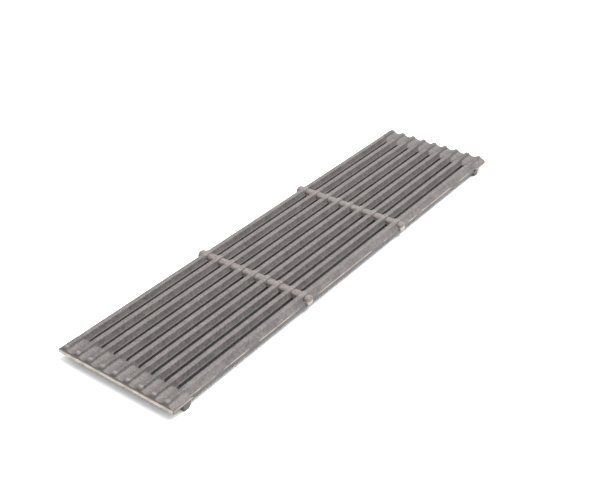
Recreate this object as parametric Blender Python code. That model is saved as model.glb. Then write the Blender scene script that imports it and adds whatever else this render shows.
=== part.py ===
"""A cast-iron broiler grate, nominally 21 by 5 1/4 inches.

Nine ridged bars run the whole length, over two end plates. Two round cross ribs lie in passages
through the bars at about the third points, with their tops at the crowns, and four cast lugs hold
the grate clear of what it rests on.

+X is across the bars, +Y along them and +Z up. The origin is at the middle of the rectangle that
the grate covers, on the surface that the lugs stand on. The real grate is a single casting: its
members are separate solids here, with a thin gap where one runs into the next.
"""

import math

import bmesh
import bpy
from mathutils import Matrix

# Driving dimensions, in metres
LENGTH = 0.5340  # along the bars
WIDTH = 0.1350  # across the bars
HEIGHT = 0.0169  # from the lugs' soles to the ridge tops
BAR_COUNT = 9
BAR_PITCH = 0.0147
MEMBER_GAP = 0.0003  # left where two members meet

# Heights above the surface that the lugs stand on
UNDERSIDE = 0.0053
PARTING_LINE = 0.0110
PLATE_FLOOR = 0.0139

# A bar's right half, from the ridge's crown down to the underside, as (half width, height)
RIDGE_FOOT = PLATE_FLOOR + MEMBER_GAP
CROWN_OUTLINE = [(0.0014, HEIGHT), (0.0021, HEIGHT - 0.0006), (0.0031, RIDGE_FOOT)]
BODY_OUTLINE = [(0.0050, PARTING_LINE), (0.0040, UNDERSIDE)]
OUTER_SIDE_WIDENING = 0.00115  # of the two outer bars' outer sides, below the ridge

# End plates
PLATE_DEPTH = 0.0233
PLATE_UNDERSIDE = 0.0082
PLATE_CORNER_RADIUS = 0.0016
PLATE_CORNER_SEGMENTS = 3
PLATE_SIDE_SLOPE = 0.0029  # how far the side leans in above the parting line
PLATE_END_SLOPE = 0.0012
RIDGE_SETBACK = 0.0010  # from the plate's end to the foot of the ridge's end
RIDGE_END_LEAN = 0.0018  # how much further back the crown ends

# Cross ribs
RIB_RADIUS = 0.0049
RIB_HEIGHT = 0.0118  # of its axis
RIB_OFFSET = 0.0816  # from the middle of the grate
RIB_SIDES = 20

# Lugs
LUG_WIDTH = 0.0100
LUG_INSET = 0.0020  # from the plate's side
LUG_END_INSET = 0.0143  # from the plate's end
LUG_TOP = PLATE_UNDERSIDE - MEMBER_GAP
LUG_ROUND = 0.0050  # radius of the inner lower edge
LUG_SOLE_CHAMFER = 0.0009
LUG_ROUND_STEPS = 6

PLATE_INNER = LENGTH / 2 - PLATE_DEPTH

# Weathered, sand-cast iron
IRON_COLOUR = (0.22, 0.205, 0.20, 1.0)
IRON_ROUGHNESS = 0.62
IRON_METALLIC = 0.55


def clear_scene():
    for old in list(bpy.data.objects):
        bpy.data.objects.remove(old, do_unlink=True)


def iron_material(name):
    """The bare casting's finish, as a material of the object's own."""
    material = bpy.data.materials.new(name)
    material.use_nodes = True
    shader = material.node_tree.nodes["Principled BSDF"]
    shader.inputs["Base Color"].default_value = IRON_COLOUR
    shader.inputs["Roughness"].default_value = IRON_ROUGHNESS
    shader.inputs["Metallic"].default_value = IRON_METALLIC
    material.diffuse_color = IRON_COLOUR
    return material


def mesh_from(bm, name):
    bmesh.ops.recalc_face_normals(bm, faces=bm.faces[:])
    mesh = bpy.data.meshes.new(name)
    bm.to_mesh(mesh)
    bm.free()
    return mesh


def place(name, mesh, parent, location=(0, 0, 0), half_turn=False):
    """A named member, turned half round about the vertical when half_turn is set."""
    member = bpy.data.objects.new(name, mesh)
    bpy.context.scene.collection.objects.link(member)
    member.parent = parent
    member.location = location
    member.rotation_euler.z = math.pi if half_turn else 0.0
    member.data.materials.clear()
    member.data.materials.append(iron_material(name))
    return member


def both_halves(right_half, left_half=None):
    """The points of an outline from its halves, each listed as (half width, height) from the top.

    The left half mirrors the right one unless it is given.
    """
    return right_half + [(-x, z) for x, z in reversed(left_half or right_half)]


def extruded(bm, faces, vector, from_solid=False):
    """Extrudes faces, and returns the vertices and faces at their new end.

    When they are faces of a solid already, they are taken away, because they would be left inside it.
    """
    new = bmesh.ops.extrude_face_region(bm, geom=faces)["geom"]
    if from_solid:
        bmesh.ops.delete(bm, geom=faces, context="FACES_ONLY")
    verts = [item for item in new if isinstance(item, bmesh.types.BMVert)]
    ends = [item for item in new if isinstance(item, bmesh.types.BMFace)]
    bmesh.ops.translate(bm, verts=verts, vec=vector)
    return verts, ends


def outline_face(bm, points, y):
    return bm.faces.new([bm.verts.new((x, y, z)) for x, z in points])


def body_half(widening):
    """One half of a bar's outline below its ridge."""
    return CROWN_OUTLINE[-1:] + [(x + widening, z) for x, z in BODY_OUTLINE]


def bar_mesh(right_widening=0.0, left_widening=0.0):
    """One bar: its whole section between the plates, and only its ridge over them."""
    bm = bmesh.new()
    inner = PLATE_INNER - MEMBER_GAP
    crown = outline_face(bm, both_halves(CROWN_OUTLINE), -inner)
    body = outline_face(bm, both_halves(body_half(right_widening), body_half(left_widening)), -inner)
    bmesh.ops.remove_doubles(bm, verts=bm.verts[:], dist=MEMBER_GAP / 10)
    extruded(bm, [crown, body], (0, 2 * inner, 0))
    ridge_end = LENGTH / 2 - RIDGE_SETBACK
    for side in (-1, 1):
        bm.faces.ensure_lookup_table()
        ridge = [
            face
            for face in bm.faces
            if abs(face.normal.y) > 0.9
            and face.calc_center_median().y * side > 0
            and face.calc_center_median().z > RIDGE_FOOT
        ]
        tip, _ = extruded(bm, ridge, (0, side * (ridge_end - inner), 0), from_solid=True)
        crown_tip = [vert for vert in tip if vert.co.z > RIDGE_FOOT + MEMBER_GAP]
        bmesh.ops.translate(bm, verts=crown_tip, vec=(0, -side * RIDGE_END_LEAN, 0))
    return mesh_from(bm, "bar")


def plate_mesh():
    """The front end plate: a slab with rounded outer corners, its end and sides leaning in at the top."""
    bm = bmesh.new()
    outer = -LENGTH / 2
    side = WIDTH / 2
    corners = [(-side, outer), (side, outer), (side, -PLATE_INNER), (-side, -PLATE_INNER)]
    verts = [bm.verts.new((x, y, PLATE_UNDERSIDE)) for x, y in corners]
    bm.faces.new(verts)
    bmesh.ops.bevel(
        bm,
        geom=verts[:2],
        offset=PLATE_CORNER_RADIUS,
        affect="VERTICES",
        segments=PLATE_CORNER_SEGMENTS,
        profile=0.5,
        material=-1,
    )
    _, ends = extruded(bm, bm.faces[:], (0, 0, PARTING_LINE - PLATE_UNDERSIDE))
    top, _ = extruded(bm, ends, (0, 0, PLATE_FLOOR - PARTING_LINE), from_solid=True)
    for vert in top:
        vert.co.x *= 1 - PLATE_SIDE_SLOPE / side
        from_inner = (-PLATE_INNER - vert.co.y) / PLATE_DEPTH
        vert.co.y += PLATE_END_SLOPE * from_inner
    return mesh_from(bm, "end_plate")


def add_round_bar(bm, radius, length, y):
    """A cylinder across the grate at a rib's height, centred on X = 0."""
    made = bmesh.ops.create_cone(
        bm, cap_ends=True, segments=RIB_SIDES, radius1=radius, radius2=radius, depth=length
    )
    turn = Matrix.Rotation(math.pi / 2, 4, "Y")
    bmesh.ops.transform(bm, verts=made["verts"], matrix=Matrix.Translation((0, y, RIB_HEIGHT)) @ turn)


def rib_mesh():
    """A cross rib: a round bar from side to side, whose ground ends stand out past the outer bars."""
    bm = bmesh.new()
    add_round_bar(bm, RIB_RADIUS, WIDTH, 0)
    return mesh_from(bm, "cross_rib")


def rib_passages():
    """The cutter that opens the bars for the two cross ribs."""
    bm = bmesh.new()
    for y in (-RIB_OFFSET, RIB_OFFSET):
        add_round_bar(bm, RIB_RADIUS + MEMBER_GAP, 1.5 * WIDTH, y)
    passages = bpy.data.objects.new("rib_passages", mesh_from(bm, "rib_passages"))
    bpy.context.scene.collection.objects.link(passages)
    passages.hide_render = True
    passages.display_type = "WIRE"
    return passages


def lug_mesh():
    """A front lug: a steep outer face, a flat sole and a round inner side, with its middle at X = 0."""
    bm = bmesh.new()
    outer = -LENGTH / 2 + LUG_END_INSET
    arc_centre = -PLATE_INNER - LUG_ROUND
    points = [(outer, LUG_TOP), (outer, LUG_SOLE_CHAMFER), (outer + LUG_SOLE_CHAMFER, 0.0)]
    for step in range(LUG_ROUND_STEPS + 1):
        angle = math.pi / 2 * step / LUG_ROUND_STEPS
        points.append((arc_centre + LUG_ROUND * math.sin(angle), LUG_ROUND * (1 - math.cos(angle))))
    points.append((-PLATE_INNER, LUG_TOP))
    face = bm.faces.new([bm.verts.new((-LUG_WIDTH / 2, y, z)) for y, z in points])
    extruded(bm, [face], (LUG_WIDTH, 0, 0))
    return mesh_from(bm, "lug")


def bar_x(index):
    """Where bar number index, counted from 0 at the left, lies across the grate."""
    return (index - (BAR_COUNT - 1) / 2) * BAR_PITCH


def build():
    clear_scene()
    grate = bpy.data.objects.new("grate", None)
    bpy.context.scene.collection.objects.link(grate)

    passages = rib_passages()
    for index in range(BAR_COUNT):
        left_widening = OUTER_SIDE_WIDENING if index == 0 else 0.0
        right_widening = OUTER_SIDE_WIDENING if index == BAR_COUNT - 1 else 0.0
        mesh = bar_mesh(right_widening, left_widening)
        bar = place(f"bar_{index + 1}", mesh, grate, (bar_x(index), 0, 0))
        opening = bar.modifiers.new("opened_for_ribs", "BOOLEAN")
        opening.operation = "DIFFERENCE"
        opening.solver = "EXACT"
        opening.object = passages

    place("front_end_plate", plate_mesh(), grate)
    place("rear_end_plate", plate_mesh(), grate, half_turn=True)
    place("front_cross_rib", rib_mesh(), grate, (0, -RIB_OFFSET, 0))
    place("rear_cross_rib", rib_mesh(), grate, (0, RIB_OFFSET, 0))

    lug_x = WIDTH / 2 - LUG_INSET - LUG_WIDTH / 2
    place("front_left_lug", lug_mesh(), grate, (-lug_x, 0, 0))
    place("front_right_lug", lug_mesh(), grate, (lug_x, 0, 0))
    place("rear_left_lug", lug_mesh(), grate, (-lug_x, 0, 0), half_turn=True)
    place("rear_right_lug", lug_mesh(), grate, (lug_x, 0, 0), half_turn=True)


build()
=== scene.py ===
"""The looks of a cast-iron broiler grate.

The grate is one sand casting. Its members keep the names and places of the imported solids: nine
ridged bars, two end plates, two cross ribs and four lugs. Here they run into one another with the
fillets that a mould leaves, in one skin of bare iron with ground edges.
"""

import math
from types import SimpleNamespace

import bmesh
import bpy
from mathutils import Matrix, Vector, noise


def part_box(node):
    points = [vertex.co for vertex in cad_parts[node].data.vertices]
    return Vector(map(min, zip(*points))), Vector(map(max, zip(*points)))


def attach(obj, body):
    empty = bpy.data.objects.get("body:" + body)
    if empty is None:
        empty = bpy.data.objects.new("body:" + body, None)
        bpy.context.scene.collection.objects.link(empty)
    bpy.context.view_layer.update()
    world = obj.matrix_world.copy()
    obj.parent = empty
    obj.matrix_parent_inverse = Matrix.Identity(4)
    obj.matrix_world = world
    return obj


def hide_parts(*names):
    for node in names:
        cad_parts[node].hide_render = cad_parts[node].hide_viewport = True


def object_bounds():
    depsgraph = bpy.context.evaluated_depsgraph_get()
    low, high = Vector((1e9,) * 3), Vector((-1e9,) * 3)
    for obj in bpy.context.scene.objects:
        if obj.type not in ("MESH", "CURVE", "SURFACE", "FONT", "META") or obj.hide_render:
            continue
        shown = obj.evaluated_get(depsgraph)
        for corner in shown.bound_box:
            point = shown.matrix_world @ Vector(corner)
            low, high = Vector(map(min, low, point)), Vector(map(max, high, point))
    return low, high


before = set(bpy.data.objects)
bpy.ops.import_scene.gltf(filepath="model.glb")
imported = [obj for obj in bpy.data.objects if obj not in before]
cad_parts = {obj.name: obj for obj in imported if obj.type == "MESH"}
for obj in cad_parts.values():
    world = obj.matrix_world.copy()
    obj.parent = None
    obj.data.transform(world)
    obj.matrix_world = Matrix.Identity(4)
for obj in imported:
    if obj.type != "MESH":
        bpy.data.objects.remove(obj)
cad_low, cad_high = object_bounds()


# Ridged bars
# Nine bars of bare grey iron. Each has a rounded crown that sears the food, steep sides, and a lip
# where the two halves of the sand mould met; below it they draw in to a flat underside. They run on
# over the end plates as ridges, each ending in a blunt nose. The outer bars' outer sides are wider.

bar_names = sorted(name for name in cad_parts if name.startswith("bar_"))
middle_bar = len(bar_names) // 2
bar_low, bar_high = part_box(bar_names[middle_bar])
next_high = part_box(bar_names[middle_bar + 1])[1]
outer_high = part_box(bar_names[-1])[1]
plate_low, plate_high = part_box("front_end_plate")
rib_low, rib_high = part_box("rear_cross_rib")
bar_pitch = next_high.x - bar_high.x
bar_centres = [(index - middle_bar) * bar_pitch for index in range(len(bar_names))]
crown_z = bar_high.z
underside_z = bar_low.z
floor_z = plate_high.z  # the end plates' top, between the ridges
lip_half = (bar_high.x - bar_low.x) / 2
outer_widening = outer_high.x - bar_centres[-1] - lip_half
plate_underside_z = plate_low.z
plate_inner = -plate_high.y  # distance of the plates' inner edges from the middle
rib_offset = (rib_low.y + rib_high.y) / 2
grate_half_length = cad_high.y
grate_half_width = cad_high.x

lip_z = 0.0114
outer_lip_z = 0.0103  # of the outer bars' outer sides, and of the plates'
flare_z = 0.01185  # where a bar's side begins to spread to its lip
crown_half = 0.0022
ridge_foot_half = 0.0031
flare_half = 0.0044
underside_half = 0.0040
outer_draft = 0.0003  # how far an outer side draws in below its lip
flash_height = 0.0005  # of the narrow flat left on the lip
crown_round = 0.0009
flare_round = 0.0002
flash_round = 0.00015
underside_round = 0.0007
nose_length = 0.0012
nose_setback = 0.0008  # from the plate's end to the nose's tip
nose_drop = 0.5  # share of the ridge's height lost at the nose's tip
nose_pinch = 0.12  # share of its width lost there
nose_steps = 6
taper_start = 0.0020  # how far before the plate a ridge starts to taper
taper_length = 0.0060
crown_narrowing = 0.12  # share of the crown's width lost over the plates
foot_spread = 0.04  # share of the foot's width gained there
underside_ramp = 0.0030  # length over which a bar's underside rises into the plate
underside_sink = 0.0005  # how deep in the plate it ends
ground_low = plate_underside_z + 0.0004
ground_high = 0.0121  # of the ground band on the plates' ends
ground_depth = 0.0002
rib_end_high = 0.0128  # of the ground patch on the ribs' ends
wheel_wander = 0.0012  # how far the ground band's edges wander
row_spacing = 0.0016
side_rows = (floor_z + 0.0012, floor_z + 0.0024, lip_z - 0.0020, lip_z - 0.0040)


def clamped(share):
    """A share held between 0 and 1."""
    return max(0.0, min(1.0, share))


def side_outline(widening=0.0):
    """One side of a bar from its crown down, as (half width, height). A widened side has no flare."""
    ridge = [(crown_half, crown_z), (ridge_foot_half, floor_z)]
    if widening:
        lip = outer_lip_z
        foot_half = lip_half - outer_draft
    else:
        lip = lip_z
        foot_half = underside_half
        ridge.append((flare_half, flare_z))
    return [
        *ridge,
        (lip_half + widening, lip + flash_height / 2),
        (lip_half + widening, lip - flash_height / 2),
        (foot_half + widening, underside_z),
    ]


def bar_half_width(z):
    """How far a bar's plain side is from its centre line at a height."""
    corners = side_outline()
    for (half_high, high), (half_low, low) in zip(corners, corners[1:]):
        if z >= low:
            share = (high - min(z, high)) / (high - low)
            return half_high + (half_low - half_high) * share
    return underside_half


def long_edges(bm, height, reach):
    """The edges along Y at one height, on both sides of a bar."""
    return [
        edge
        for edge in bm.edges
        if abs(edge.verts[0].co.y - edge.verts[1].co.y) > row_spacing
        and all(abs(vert.co.z - height) < reach for vert in edge.verts)
    ]


def bevel_edges(bm, edges, offset, segments):
    bmesh.ops.bevel(
        bm,
        geom=edges,
        offset=offset,
        affect="EDGES",
        segments=segments,
        profile=0.5,
        material=-1,
        clamp_overlap=True,
    )


def roughen(bm, verts, lump=0.00006, pit=0.00004):
    """The uneven skin that sand leaves: shallow lumps some millimetres across, and finer pits."""
    bm.normal_update()
    for vert in verts:
        height = lump * noise.noise(vert.co * 140) + pit * noise.noise(vert.co * 430)
        vert.co += vert.normal * height


def finish_piece(bm, name, replaced, smooth_angle=math.radians(50)):
    """Makes a bmesh a piece that rides on the grate, stands for CAD nodes and has the iron's finish."""
    mesh = bpy.data.meshes.new(name)
    bm.to_mesh(mesh)
    bm.free()
    mesh.shade_smooth()
    mesh.set_sharp_from_angle(angle=smooth_angle)
    mesh.materials.append(cast_iron)
    piece = bpy.data.objects.new(name, mesh)
    bpy.context.scene.collection.objects.link(piece)
    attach(piece, "root")
    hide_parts(*replaced)
    return piece


def new_node(tree, kind, **settings):
    node = tree.nodes.new(kind)
    for key, value in settings.items():
        setattr(node, key, value)
    return node


def math_node(tree, operation, *values):
    """A Math node on sockets or numbers, and its result."""
    node = new_node(tree, "ShaderNodeMath", operation=operation)
    for socket, value in zip(node.inputs, values):
        if isinstance(value, bpy.types.NodeSocket):
            tree.links.new(value, socket)
        else:
            socket.default_value = value
    return node.outputs[0]


def product(tree, first, *others):
    """The product of two or more sockets or numbers."""
    for other in others:
        first = math_node(tree, "MULTIPLY", first, other)
    return first


def noise_node(tree, coordinates, scale, detail, roughness=0.5):
    node = new_node(tree, "ShaderNodeTexNoise")
    node.inputs["Scale"].default_value = scale
    node.inputs["Detail"].default_value = detail
    node.inputs["Roughness"].default_value = roughness
    tree.links.new(coordinates, node.inputs["Vector"])
    return node.outputs["Fac"]


def fade(tree, value, start, end):
    """0 before start and 1 past end, with a soft step between. It also runs backwards."""
    node = new_node(tree, "ShaderNodeMapRange", interpolation_type="SMOOTHSTEP")
    tree.links.new(value, node.inputs["Value"])
    node.inputs["From Min"].default_value = start
    node.inputs["From Max"].default_value = end
    return node.outputs["Result"]


def mix_colours(tree, factor, first, second, blend="MIX"):
    node = new_node(tree, "ShaderNodeMix", data_type="RGBA", blend_type=blend)
    for socket, value in ((node.inputs[0], factor), (node.inputs[6], first), (node.inputs[7], second)):
        if isinstance(value, bpy.types.NodeSocket):
            tree.links.new(value, socket)
        else:
            socket.default_value = value
    return node.outputs[2]


def between(tree, value, low, high, soft):
    """1 from low to high, and 0 further than soft outside them."""
    return product(tree, fade(tree, value, low - soft, low), fade(tree, value, high + soft, high))


def iron_places(tree):
    """Where on the grate a point is: distances in metres, and masks for the places that differ."""
    place = new_node(tree, "ShaderNodeTexCoord").outputs["Object"]
    split = new_node(tree, "ShaderNodeSeparateXYZ")
    tree.links.new(place, split.inputs[0])
    x, y, height = split.outputs
    across = math_node(tree, "ABSOLUTE", x)
    along = math_node(tree, "ABSOLUTE", y)
    return SimpleNamespace(
        place=place,
        across=across,
        along=along,
        height=height,
        from_bar=math_node(tree, "FLOORED_MODULO", x, bar_pitch),
        from_rib=math_node(tree, "ABSOLUTE", math_node(tree, "SUBTRACT", along, rib_offset)),
        crown=fade(tree, height, crown_z - 0.0014, crown_z - 0.0002),
        inner_sides=fade(tree, across, bar_centres[-1] + 0.001, bar_centres[-1] - 0.001),
        before_plate=fade(tree, along, plate_inner, plate_inner - 0.003),
        on_plate=fade(tree, along, plate_inner - 0.001, plate_inner + 0.003),
        on_nose=fade(tree, along, grate_half_length - 0.0052, grate_half_length - 0.0040),
        blotches=fade(tree, noise_node(tree, place, 380, 3, 0.6), 0.38, 0.62),
    )


def mottled_colour(tree, at):
    """Cool grey, deeper in patches, with pink and brown spots."""
    iron_pale = (0.095, 0.088, 0.087, 1.0)
    iron_deep = (0.067, 0.063, 0.064, 1.0)
    iron_pink = (0.118, 0.084, 0.077, 1.0)
    iron_brown = (0.068, 0.053, 0.047, 1.0)
    patches = fade(tree, noise_node(tree, at.place, 60, 4), 0.36, 0.64)
    tint = noise_node(tree, at.place, 320, 3, 0.6)
    colour = mix_colours(tree, patches, iron_deep, iron_pale)
    colour = mix_colours(tree, product(tree, fade(tree, tint, 0.52, 0.64), 0.55), colour, iron_pink)
    return mix_colours(tree, product(tree, fade(tree, tint, 0.47, 0.36), 0.45), colour, iron_brown)


def rubbed_and_painted_light(tree, at, colour):
    """The colour, paler and warmer: rubbed on the crowns, a painted highlight on the lips, the noses' tops
    (also rubbed) and the ribs' flash lines, and painted light on the ribs' tops and in the plates' troughs.
    """
    # Paler colours for rubbed crowns and noses, and for painted light on the lips, noses, ribs and plates'
    # troughs.
    rubbed_and_highlit_iron = (0.103, 0.090, 0.085, 1.0)
    trough_painted_light = (0.102, 0.091, 0.087, 1.0)
    nose_highlit_and_rubbed = (0.150, 0.131, 0.122, 1.0)
    rib_painted_light = (0.128, 0.113, 0.107, 1.0)
    rib_flash_highlight = (0.25, 0.205, 0.165, 1.0)
    # Painted highlight: a thin paler band along the top of the bars' lips, where the flash catches the
    # light.
    lip_highlight = product(tree, between(tree, at.height, lip_z, lip_z + 0.0003, 0.0004), at.before_plate)
    between_plates = fade(tree, at.along, plate_inner + 0.004, plate_inner - 0.010)
    # Painted light in the plates' troughs: paler beside the ridge to the left, fading out towards the next
    # ridge, where its shadow would fall.
    in_trough = fade(tree, at.height, floor_z + 0.0012, floor_z + 0.0004)
    right_of_bar = fade(tree, at.from_bar, bar_pitch * 0.75, bar_pitch * 0.35)
    # Painted light: the ribs' tops lighter than the iron around them.
    rib_top = product(
        tree,
        fade(tree, at.from_rib, 0.0050, 0.0038),
        fade(tree, at.height, crown_z - 0.0044, crown_z - 0.0030),
    )
    # Painted highlight: a thin pale line along both sides of each rib at its axis, where a flash would
    # catch the light.
    rib_flash = product(
        tree,
        fade(tree, at.from_rib, 0.0036, 0.0044),
        fade(tree, at.from_rib, 0.0056, 0.0052),
        between(tree, at.height, rib_low.z + 0.0050, rib_low.z + 0.0056, 0.0006),
    )
    paler_marks = [
        (product(tree, lip_highlight, 0.5), rubbed_and_highlit_iron),
        (product(tree, at.crown, between_plates, 0.5), rubbed_and_highlit_iron),
        (product(tree, at.on_plate, in_trough, right_of_bar, 0.8), trough_painted_light),
        # Painted highlight on the noses' tops, which are also rubbed paler.
        (product(tree, at.crown, at.on_nose, 0.8), nose_highlit_and_rubbed),
        (product(tree, rib_top, 0.8), rib_painted_light),
        (product(tree, rib_flash, 0.7), rib_flash_highlight),
    ]
    for share, lighter_tone in paler_marks:
        colour = mix_colours(tree, share, colour, lighter_tone)
    return colour


def iron_shade(tree, at):
    """How light the iron is against its colour: speckled, with painted shade in the grooves and slots
    between the bars, lower than the outer lips, on the ends' cast strips and on the noses' fronts (also
    rusty there), and darker on the plates' ridges.
    """
    off_plate = math_node(tree, "SUBTRACT", 1.0, at.on_plate)
    off_nose = math_node(tree, "SUBTRACT", 1.0, at.on_nose)
    # Painted shade in the grooves between the bars: their sides darker from just below the crowns downward.
    groove_shade = fade(tree, at.height, crown_z - 0.0016, lip_z + 0.0006)
    # Painted shade: everything lower than the outer lips darker.
    skirt_shade = fade(tree, at.height, outer_lip_z, outer_lip_z - 0.0006)
    ridge = fade(tree, at.height, floor_z + 0.0010, floor_z + 0.0018)
    # Painted shade on the cast strip above the ground band at each end.
    cast_edge = product(
        tree,
        fade(tree, at.along, grate_half_length - 0.0008, grate_half_length - 0.0004),
        fade(tree, at.height, ground_high, ground_high + 0.0003),
    )
    # Painted shade on the noses' fronts, which are also darker with rust.
    nose_front = product(
        tree,
        fade(tree, at.along, grate_half_length - 0.0026, grate_half_length - 0.0020),
        fade(tree, at.height, floor_z, floor_z + 0.0004),
    )
    # Painted shade in the slots: the bars' sides darker under their lips.
    below_lip = fade(tree, at.height, lip_z - 0.0002, lip_z - 0.0010)
    darker = [
        (product(tree, groove_shade, at.inner_sides, off_plate), 0.16),
        (skirt_shade, 0.25),
        (product(tree, at.on_plate, ridge, off_nose), 0.18),
        (cast_edge, 0.40),
        (nose_front, 0.30),
        (product(tree, below_lip, at.inner_sides, at.before_plate), 0.50),
    ]
    specks = fade(tree, noise_node(tree, at.place, 850, 2), 0.40, 0.60)
    shade = product(
        tree,
        math_node(tree, "MULTIPLY_ADD", at.blotches, 0.30, 0.85),
        math_node(tree, "MULTIPLY_ADD", specks, 0.34, 0.83),
    )
    for mask, loss in darker:
        shade = product(tree, shade, math_node(tree, "MULTIPLY_ADD", mask, -loss, 1.0))
    return shade


def ground_mask(tree, at):
    """1 where the grinding wheel has been: the plates' ends, the outer lips and the ribs' ends."""
    wander = math_node(tree, "SUBTRACT", noise_node(tree, at.place, 300, 3), 0.5)
    wheel_height = math_node(tree, "MULTIPLY_ADD", wander, wheel_wander, at.height)
    end_face = product(
        tree,
        math_node(tree, "GREATER_THAN", at.along, grate_half_length - ground_depth),
        between(tree, wheel_height, ground_low, ground_high - 0.0004, 0.0004),
    )
    half_flash = flash_height / 2
    lip_band = between(tree, at.height, outer_lip_z - half_flash, outer_lip_z + half_flash, half_flash)
    touched = product(
        tree,
        fade(tree, noise_node(tree, at.place, 45, 3), 0.36, 0.48),
        fade(tree, at.from_rib, 0.012, 0.020),
    )
    bar_lip_x = bar_centres[-1] + lip_half + outer_widening
    past_bars = math_node(tree, "GREATER_THAN", at.along, plate_inner)
    lip_x = math_node(tree, "MULTIPLY_ADD", past_bars, grate_half_width - bar_lip_x, bar_lip_x)
    outer_lip = math_node(tree, "GREATER_THAN", at.across, math_node(tree, "SUBTRACT", lip_x, ground_depth))
    side_face = product(tree, lip_band, outer_lip, math_node(tree, "MAXIMUM", touched, at.on_plate))
    rib_end = product(
        tree,
        math_node(tree, "GREATER_THAN", at.across, grate_half_width - 0.0005),
        fade(tree, wheel_height, rib_end_high, rib_end_high - 0.0008),
        math_node(tree, "LESS_THAN", at.from_rib, rib_high.y - rib_offset),
    )
    return math_node(tree, "MAXIMUM", math_node(tree, "MAXIMUM", end_face, side_face), rib_end)


def make_cast_iron():
    """Bare sand-cast iron: a speckled grey skin with light and shade painted into its colour, bright and
    smoother where it has been ground.
    """
    ground_beige = (0.25, 0.205, 0.165, 1.0)
    ground_bright = (0.36, 0.315, 0.27, 1.0)
    material = bpy.data.materials.new("sand_cast_iron")
    material.use_nodes = True
    tree = material.node_tree
    shader = tree.nodes["Principled BSDF"]
    at = iron_places(tree)

    shade = iron_shade(tree, at)
    grey = new_node(tree, "ShaderNodeCombineColor")
    for channel in range(3):
        tree.links.new(shade, grey.inputs[channel])
    colour = rubbed_and_painted_light(tree, at, mottled_colour(tree, at))
    colour = mix_colours(tree, 1.0, colour, grey.outputs[0], blend="MULTIPLY")
    ground = ground_mask(tree, at)
    patchy = fade(tree, noise_node(tree, at.place, 90, 3), 0.34, 0.62)
    ground_colour = mix_colours(tree, patchy, ground_beige, ground_bright)
    tree.links.new(mix_colours(tree, ground, colour, ground_colour), shader.inputs["Base Color"])

    cast_roughness = math_node(tree, "MULTIPLY_ADD", at.blotches, 0.14, 0.55)
    roughness = math_node(tree, "SUBTRACT", cast_roughness, product(tree, ground, 0.2))
    tree.links.new(roughness, shader.inputs["Roughness"])
    tree.links.new(product(tree, ground, 0.3), shader.inputs["Metallic"])

    coarse_sand = noise_node(tree, at.place, 800, 4, 0.65)
    fine_sand = noise_node(tree, at.place, 2200, 2)
    bump = new_node(tree, "ShaderNodeBump")
    bump.inputs["Strength"].default_value = 0.8
    bump.inputs["Distance"].default_value = 0.0002
    tree.links.new(math_node(tree, "ADD", coarse_sand, fine_sand), bump.inputs["Height"])
    tree.links.new(bump.outputs["Normal"], shader.inputs["Normal"])
    return material


cast_iron = make_cast_iron()


def make_bar(left_widening=0.0, right_widening=0.0):
    """A bar with its middle at X = 0: the cast outline drawn along Y, then cut into rows."""
    tip = grate_half_length - nose_setback
    left = [(-x, z) for x, z in reversed(side_outline(left_widening))]
    bm = bmesh.new()
    face = bm.faces.new([bm.verts.new((x, -tip, z)) for x, z in side_outline(right_widening) + left])
    drawn = bmesh.ops.extrude_face_region(bm, geom=[face])["geom"]
    new_verts = [item for item in drawn if isinstance(item, bmesh.types.BMVert)]
    bmesh.ops.translate(bm, verts=new_verts, vec=(0, 2 * tip, 0))
    bmesh.ops.recalc_face_normals(bm, faces=bm.faces[:])
    corner_rounds = [
        (crown_z, crown_round, 5),
        (flare_z, flare_round, 2),
        (underside_z, underside_round, 3),
    ]
    for lip in (lip_z, outer_lip_z):
        corner_rounds += [(lip + side * flash_height / 2, flash_round, 2) for side in (1, -1)]
    for height, radius, segments in corner_rounds:
        edges = long_edges(bm, height, 1e-5)
        if edges:
            bevel_edges(bm, edges, radius, segments)
    for height in side_rows:
        everything = bm.verts[:] + bm.edges[:] + bm.faces[:]
        bmesh.ops.bisect_plane(bm, geom=everything, plane_co=(0, 0, height), plane_no=(0, 0, 1))

    nose_rows = [
        tip - nose_length * (1 - math.sin(math.pi / 2 * step / nose_steps)) for step in range(nose_steps)
    ]
    body_rows = round(2 * (tip - nose_length) / row_spacing)
    rows = [-y for y in nose_rows] + nose_rows
    rows += [(step / body_rows * 2 - 1) * (tip - nose_length) for step in range(1, body_rows)]
    for y in rows:
        everything = bm.verts[:] + bm.edges[:] + bm.faces[:]
        bmesh.ops.bisect_plane(bm, geom=everything, plane_co=(0, y, 0), plane_no=(0, 1, 0))

    for vert in bm.verts:
        past = abs(vert.co.y) - (tip - nose_length)
        if past > 0:
            keep = math.sqrt(max(0.0, 1 - (past / nose_length) ** 2))
            if vert.co.z > floor_z:
                vert.co.z = floor_z + (vert.co.z - floor_z) * (1 - nose_drop * (1 - keep))
            vert.co.x *= 1 - nose_pinch * (1 - keep)
        over_plate = clamped((abs(vert.co.y) - plate_inner + taper_start) / taper_length)
        share = clamped((vert.co.z - floor_z) / (crown_z - floor_z))
        vert.co.x *= 1 + over_plate * (foot_spread - (crown_narrowing + foot_spread) * share)
        ramp = clamped((abs(vert.co.y) - plate_inner) / underside_ramp)
        lifted = underside_z + (plate_underside_z + underside_sink - underside_z) * ramp
        vert.co.z = max(vert.co.z, lifted)
    return bm


inner_bar = make_bar()
for name, centre in zip(bar_names, bar_centres):
    if name == bar_names[0]:
        bar = make_bar(left_widening=outer_widening)
    elif name == bar_names[-1]:
        bar = make_bar(right_widening=outer_widening)
    else:
        bar = inner_bar.copy()
    bmesh.ops.translate(bar, verts=bar.verts[:], vec=(centre, 0, 0))
    roughen(bar, bar.verts[:])
    finish_piece(bar, f"cast_{name}", [name])
inner_bar.free()


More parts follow.
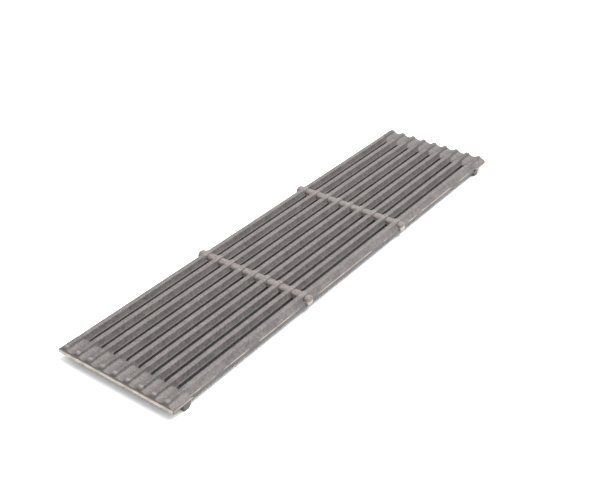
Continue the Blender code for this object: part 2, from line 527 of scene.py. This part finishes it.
# End plates
# A flat plate at each end joins the nine bars and lies on the broiler's ledge. Its floor dips a
# little between the ridges and rises in a fillet to their sides. The end is ground flat below the
# parting line, and the sides have a narrow ground line. Between the bars it ends in round notches.

notch_radius = bar_pitch / 2 - lip_half
plate_edge_z = 0.0124  # where the cast top edge meets the ground end
trough_bottom_z = floor_z - 0.0007
trough_rise = 0.0011  # from the trough's bottom to the ridges' feet
edge_round = 0.0006  # how far in from the plate's end its top edge starts to fall
side_fall_start = bar_centres[-1] + 0.0052
side_edge_z = outer_lip_z + flash_height / 2
side_fall_power = 1.4
fall_blend = 0.0004
notch_sink = 0.0006  # how far a notch's edge lies below the lip
notch_slope = 0.85
notch_blend = 0.0024
shoulder_slope = 0.7  # of the plate's rise from an outer bar's side
shoulder_blend = 0.0010
side_draft = 0.0005  # how far the sides draw in below their flash
skin_clearance = 0.0005  # how far above the ground end the sandy skin starts
rim_reach = 0.0020  # a point of the rim counts as on a side or the end when it is this near
lower_round = 0.0005  # of the plates' lower edges
lower_steps = 4
corner_radius = 0.0016
row_ease = 0.65  # 0 spaces the rows evenly, and 1 gathers them at both edges
bay_columns = 32
side_columns = 14
plate_rows = 46


def soft_lower(first, second, blend):
    """The lower of two heights, with the corner between them rounded."""
    share = max(blend - abs(first - second), 0.0) / blend
    return min(first, second) - share * share * blend / 4


def plate_top(x, y):
    """The front plate's height at a point."""
    ridge = min(bar_centres, key=lambda centre: abs(centre - x))
    foot = ridge_foot_half * (1 + foot_spread)
    from_foot = max(0.0, abs(x - ridge) - foot)
    share = min(from_foot / (bar_pitch / 2 - foot), 1.0)
    top = trough_bottom_z + trough_rise * (1 - share) ** 2
    if abs(x) < bar_centres[-1]:
        bay = min((a + b) / 2 for a, b in zip(bar_centres, bar_centres[1:]) if b >= x)
        notch_centre = Vector((bay, -plate_inner + notch_radius))
        from_notch = (Vector((x, y)) - notch_centre).length - notch_radius
        top = soft_lower(top, lip_z - notch_sink + max(from_notch, 0.0) * notch_slope, notch_blend)
    else:
        side_width = lip_half + outer_widening - ridge_foot_half
        down_side = max(0.0, abs(x) - bar_centres[-1] - ridge_foot_half) / side_width
        side_z = floor_z - (floor_z - outer_lip_z) * down_side
        top = soft_lower(top, side_z + (-plate_inner - y) * shoulder_slope, shoulder_blend)
    if abs(x) > side_fall_start:
        fall = (abs(x) - side_fall_start) / (grate_half_width - side_fall_start)
        fall_z = trough_bottom_z - (trough_bottom_z - side_edge_z) * fall**side_fall_power
        top = soft_lower(top, fall_z, fall_blend)
    from_end = y + grate_half_length
    if from_end < edge_round and top > plate_edge_z:
        curve = math.sqrt(max(0.0, 1 - (1 - from_end / edge_round) ** 2))
        top = plate_edge_z + (top - plate_edge_z) * curve
    return max(top, side_edge_z)


def inner_edge(x):
    """Where the front plate ends towards the middle: in a round notch at each slot."""
    if abs(x) > bar_centres[-1]:
        return -plate_inner
    bay = min((a + b) / 2 for a, b in zip(bar_centres, bar_centres[1:]) if b >= x)
    reach = min(abs(x - bay), notch_radius)
    return -plate_inner + notch_radius - math.sqrt(notch_radius**2 - reach**2)


def extrude_rim(bm, rim, move, *settings):
    """Extrudes a closed rim of edges, and puts each new vertex where move sends its place."""
    made = bmesh.ops.extrude_edge_only(bm, edges=rim)["geom"]
    for item in made:
        if isinstance(item, bmesh.types.BMVert):
            item.co = move(item.co.copy(), *settings)
    return [item for item in made if isinstance(item, bmesh.types.BMEdge)]


def drop_flash(place):
    """Where a point of the rim comes to at the foot of the flash."""
    return Vector((place.x, place.y, min(place.z, outer_lip_z + flash_height / 2) - flash_height))


def draw_in(place, distance, end_distance, z):
    """Where a point of the rim comes to, down at z and in from its side, its inner edge or the end."""
    moved = Vector((place.x, place.y, z))
    at_side = abs(place.x) > grate_half_width - rim_reach
    if at_side:
        moved.x -= math.copysign(distance, place.x)
    if place.y < rim_reach - grate_half_length:
        moved.y += end_distance
    elif not at_side:
        moved.y -= distance
    return moved


def make_plate():
    """The front end plate: a grid shaped into its top, then drawn down and in to its underside."""
    side_step = (grate_half_width - bar_centres[-1]) / side_columns
    columns = [-grate_half_width + side_step * step for step in range(side_columns)]
    bay_step = bar_pitch / bay_columns
    columns += [bar_centres[0] + bay_step * step for step in range(bay_columns * (len(bar_names) - 1))]
    columns += [bar_centres[-1] + side_step * step for step in range(side_columns + 1)]
    bm = bmesh.new()
    bmesh.ops.create_grid(bm, x_segments=len(columns) - 1, y_segments=plate_rows, size=1.0)
    for vert in bm.verts:
        x = columns[round((vert.co.x + 1) / 2 * (len(columns) - 1))]
        share = (vert.co.y + 1) / 2
        eased = share * share * (3 - 2 * share)
        share += (eased - share) * row_ease
        y = -grate_half_length + (inner_edge(x) + grate_half_length) * share
        z = plate_top(x, y)
        past = Vector((abs(x) - grate_half_width + corner_radius, corner_radius - grate_half_length - y))
        if min(past) > 0:
            rounded = past * (max(past) / past.length)
            x = math.copysign(grate_half_width - corner_radius + rounded.x, x)
            y = corner_radius - grate_half_length - rounded.y
        vert.co = (x, y, z)
    rim = [edge for edge in bm.edges if edge.is_boundary]

    rim = extrude_rim(bm, rim, drop_flash)
    rim = extrude_rim(bm, rim, draw_in, side_draft, 0.0, plate_underside_z + lower_round)
    for step in range(1, lower_steps + 1):
        angle = math.pi / 2 / lower_steps
        inward = lower_round * (math.cos(angle * (step - 1)) - math.cos(angle * step))
        z = plate_underside_z + lower_round * (1 - math.sin(angle * step))
        rim = extrude_rim(bm, rim, draw_in, inward, inward, z)
    bmesh.ops.contextual_create(bm, geom=rim)
    bmesh.ops.recalc_face_normals(bm, faces=bm.faces[:])
    return bm


for name, turn in (("front_end_plate", 0.0), ("rear_end_plate", math.pi)):
    plate = make_plate()
    bmesh.ops.rotate(plate, verts=plate.verts[:], matrix=Matrix.Rotation(turn, 3, "Z"))
    roughen(plate, [vert for vert in plate.verts if vert.co.z > plate_edge_z + skin_clearance])
    finish_piece(plate, f"cast_{name}", [name])


# Cross ribs
# Two round ribs tie the bars together at the third points. The iron swells where a rib runs into
# a bar's side, and the ribs' ends stand out past the outer bars, where they have been ground.

rib_radius = 0.0049
rib_columns = 360
rib_sides = 48
rib_fillet = 0.0012
rib_end_round = 0.0022
rib_end_clearance = 0.0004  # how far in from a rib's ground end the sandy skin starts
rib_squareness = 0.78  # 1 is a round section, and less is squarer
dome_start = 0.0024  # from a bar's middle, on its right
dome_end = 0.0050
dome_waist = 0.62  # share of the rib's radius at the dome's start
rib_core = 0.3  # share of the radius inside which nothing is moved


def rib_dome(x):
    """The share of its radius that a rib has at x, where it swells out of the bar to the left."""
    past_bar = min((x - centre for centre in bar_centres if centre <= x), default=dome_end)
    rise = clamped((dome_end - past_bar) / (dome_end - dome_start))
    return dome_waist + (1 - dome_waist) * math.sqrt(1 - rise * rise)


def rib_swell(x, z):
    """How much thicker a rib is at x, where it runs into the side of the bar to the right."""
    to_bar = min((centre - x for centre in bar_centres if centre >= x), default=grate_half_width)
    near = max(0.0, rib_fillet - max(to_bar - bar_half_width(z), 0.0))
    return rib_fillet - math.sqrt(rib_fillet**2 - near**2)


def make_rib(y, z):
    """A bar across the grate. It swells out of each ridge's right side in a dome, and runs into the
    next ridge's left side with a fillet."""
    bm = bmesh.new()
    width = 2 * grate_half_width
    bmesh.ops.create_cone(
        bm, cap_ends=True, segments=rib_sides, radius1=rib_radius, radius2=rib_radius, depth=width
    )
    bmesh.ops.rotate(bm, verts=bm.verts[:], matrix=Matrix.Rotation(math.pi / 2, 3, "Y"))
    end_edges = [edge for edge in bm.edges if abs(edge.verts[0].co.x - edge.verts[1].co.x) < 1e-6]
    bevel_edges(bm, end_edges, rib_end_round, 6)
    for column in range(1, rib_columns):
        x = (column / rib_columns * 2 - 1) * (grate_half_width - rib_end_round)
        everything = bm.verts[:] + bm.edges[:] + bm.faces[:]
        bmesh.ops.bisect_plane(bm, geom=everything, plane_co=(x, 0, 0), plane_no=(1, 0, 0))
    for vert in bm.verts:
        angle = math.atan2(vert.co.z, vert.co.y)
        reach = math.hypot(vert.co.y, vert.co.z)
        if reach > rib_radius * rib_core:
            reach = reach * rib_dome(vert.co.x) + rib_swell(vert.co.x, z + vert.co.z)
            aside = abs(math.cos(angle)) ** rib_squareness * reach
            up = abs(math.sin(angle)) ** rib_squareness * reach
            vert.co.y = math.copysign(aside, vert.co.y)
            vert.co.z = min(math.copysign(up, vert.co.z), crown_z - z)
    bmesh.ops.translate(bm, verts=bm.verts[:], vec=(0, y, z))
    bmesh.ops.recalc_face_normals(bm, faces=bm.faces[:])
    return bm


for name in ("front_cross_rib", "rear_cross_rib"):
    low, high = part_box(name)
    rib = make_rib((low.y + high.y) / 2, high.z - rib_radius)
    roughen(rib, [vert for vert in rib.verts if abs(vert.co.x) < grate_half_width - rib_end_clearance])
    finish_piece(rib, f"cast_{name}", [name])


# Lugs
# Four lugs under the corners, cast with the plates, keep the grate off the ledge and stop it from
# sliding. Each has a steep outer face, a narrow sole and a round inner side.

lug_round = 0.0050  # radius of the inner lower edge
lug_round_steps = 10
lug_edge_round = 0.0007
lug_toe = 0.0008
lug_neck = 0.0009  # height of the fillet under the plate
lug_neck_steps = 5
lug_spread = 0.00054  # how far the fillet's last step spreads
lug_root = 0.0008  # how far the lug runs on into the plate


def make_lug(low, high):
    """A front lug between two corners of its box, with its top inside the plate."""
    neck_z = high.z - lug_neck
    arc_y = high.y - lug_round
    points = [(low.y, neck_z), (low.y, low.z + lug_toe), (low.y + lug_toe, low.z)]
    for step in range(lug_round_steps + 1):
        angle = math.pi / 2 * step / lug_round_steps
        points.append((arc_y + lug_round * math.sin(angle), low.z + lug_round * (1 - math.cos(angle))))
    points.append((high.y, neck_z))
    bm = bmesh.new()
    face = bm.faces.new([bm.verts.new((low.x, y, z)) for y, z in points])
    drawn = bmesh.ops.extrude_face_region(bm, geom=[face])["geom"]
    new_verts = [item for item in drawn if isinstance(item, bmesh.types.BMVert)]
    bmesh.ops.translate(bm, verts=new_verts, vec=(high.x - low.x, 0, 0))
    bmesh.ops.recalc_face_normals(bm, faces=bm.faces[:])
    side_edges = [
        edge
        for edge in bm.edges
        if abs(edge.verts[0].co.x - edge.verts[1].co.x) < 1e-6
        and min(edge.verts[0].co.z, edge.verts[1].co.z) < neck_z - 1e-6
    ]
    bevel_edges(bm, side_edges, lug_edge_round, 3)
    top = max(bm.faces, key=lambda item: item.calc_center_median().z)
    middle = top.calc_center_median()
    for step in range(1, lug_neck_steps + 1):
        angle = math.pi / 2 * step / lug_neck_steps
        spread = lug_spread * (1 - math.cos(angle))
        into_plate = lug_root if step == lug_neck_steps else 0.0
        made = bmesh.ops.extrude_face_region(bm, geom=[top])["geom"]
        bmesh.ops.delete(bm, geom=[top], context="FACES_ONLY")
        top = next(item for item in made if isinstance(item, bmesh.types.BMFace))
        for vert in top.verts:
            vert.co.x += math.copysign(spread, vert.co.x - middle.x)
            vert.co.y += math.copysign(spread, vert.co.y - middle.y)
            vert.co.z = neck_z + lug_neck * math.sin(angle) + into_plate
    bmesh.ops.recalc_face_normals(bm, faces=bm.faces[:])
    return bm


for end, turn in (("front", 0.0), ("rear", math.pi)):
    for side in ("left", "right"):
        name = f"{end}_{side}_lug"
        low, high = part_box(name)
        if turn:
            low, high = Vector((-high.x, -high.y, low.z)), Vector((-low.x, -low.y, high.z))
        lug = make_lug(low, high)
        bmesh.ops.rotate(lug, verts=lug.verts[:], matrix=Matrix.Rotation(turn, 3, "Z"))
        finish_piece(lug, f"cast_{name}", [name])


# Studio
# A plain white table, a white surround and one big soft lamp overhead, a little to the right.

floor_mesh = bmesh.new()
bmesh.ops.create_grid(floor_mesh, x_segments=1, y_segments=1, size=6.0)
table_mesh = bpy.data.meshes.new("table_top")
floor_mesh.to_mesh(table_mesh)
floor_mesh.free()
table_top = bpy.data.objects.new("table_top", table_mesh)
bpy.context.scene.collection.objects.link(table_top)
table_white = bpy.data.materials.new("table_white")
table_white.use_nodes = True
table_shader = table_white.node_tree.nodes["Principled BSDF"]
table_shader.inputs["Base Color"].default_value = (0.92, 0.92, 0.92, 1.0)
table_shader.inputs["Roughness"].default_value = 0.8
table_shader.inputs["Specular IOR Level"].default_value = 0.1
table_mesh.materials.append(table_white)

world = bpy.data.worlds.new("white_surround")
bpy.context.scene.world = world
world.use_nodes = True
surround = world.node_tree.nodes["Background"]
surround.inputs["Color"].default_value = (1.0, 1.0, 1.0, 1.0)
surround.inputs["Strength"].default_value = 1.35


def soft_lamp(name, place, aim, size, power):
    lamp = bpy.data.lights.new(name, "AREA")
    lamp.shape = "SQUARE"
    lamp.size = size
    lamp.energy = power
    holder = bpy.data.objects.new(name, lamp)
    bpy.context.scene.collection.objects.link(holder)
    holder.location = place
    holder.rotation_euler = (Vector(aim) - Vector(place)).to_track_quat("-Z", "Y").to_euler()


soft_lamp("overhead_softbox", (0.35, 0.25, 1.40), (0, 0, 0), 1.1, 38)

view_azimuth = math.radians(36.42)
view_elevation = math.radians(32.01)
camera_place = Vector((0.4868, -0.6668, 0.5283))
camera_data = bpy.data.cameras.new("camera")
camera_data.sensor_width = 36.0
camera_data.lens = 57.65
camera_data.clip_start = 0.01
camera = bpy.data.objects.new("camera", camera_data)
bpy.context.scene.collection.objects.link(camera)
camera.location = camera_place
camera.rotation_euler = (math.pi / 2 - view_elevation, 0.0, view_azimuth)
bpy.context.scene.camera = camera
bpy.context.scene.view_settings.view_transform = "Standard"
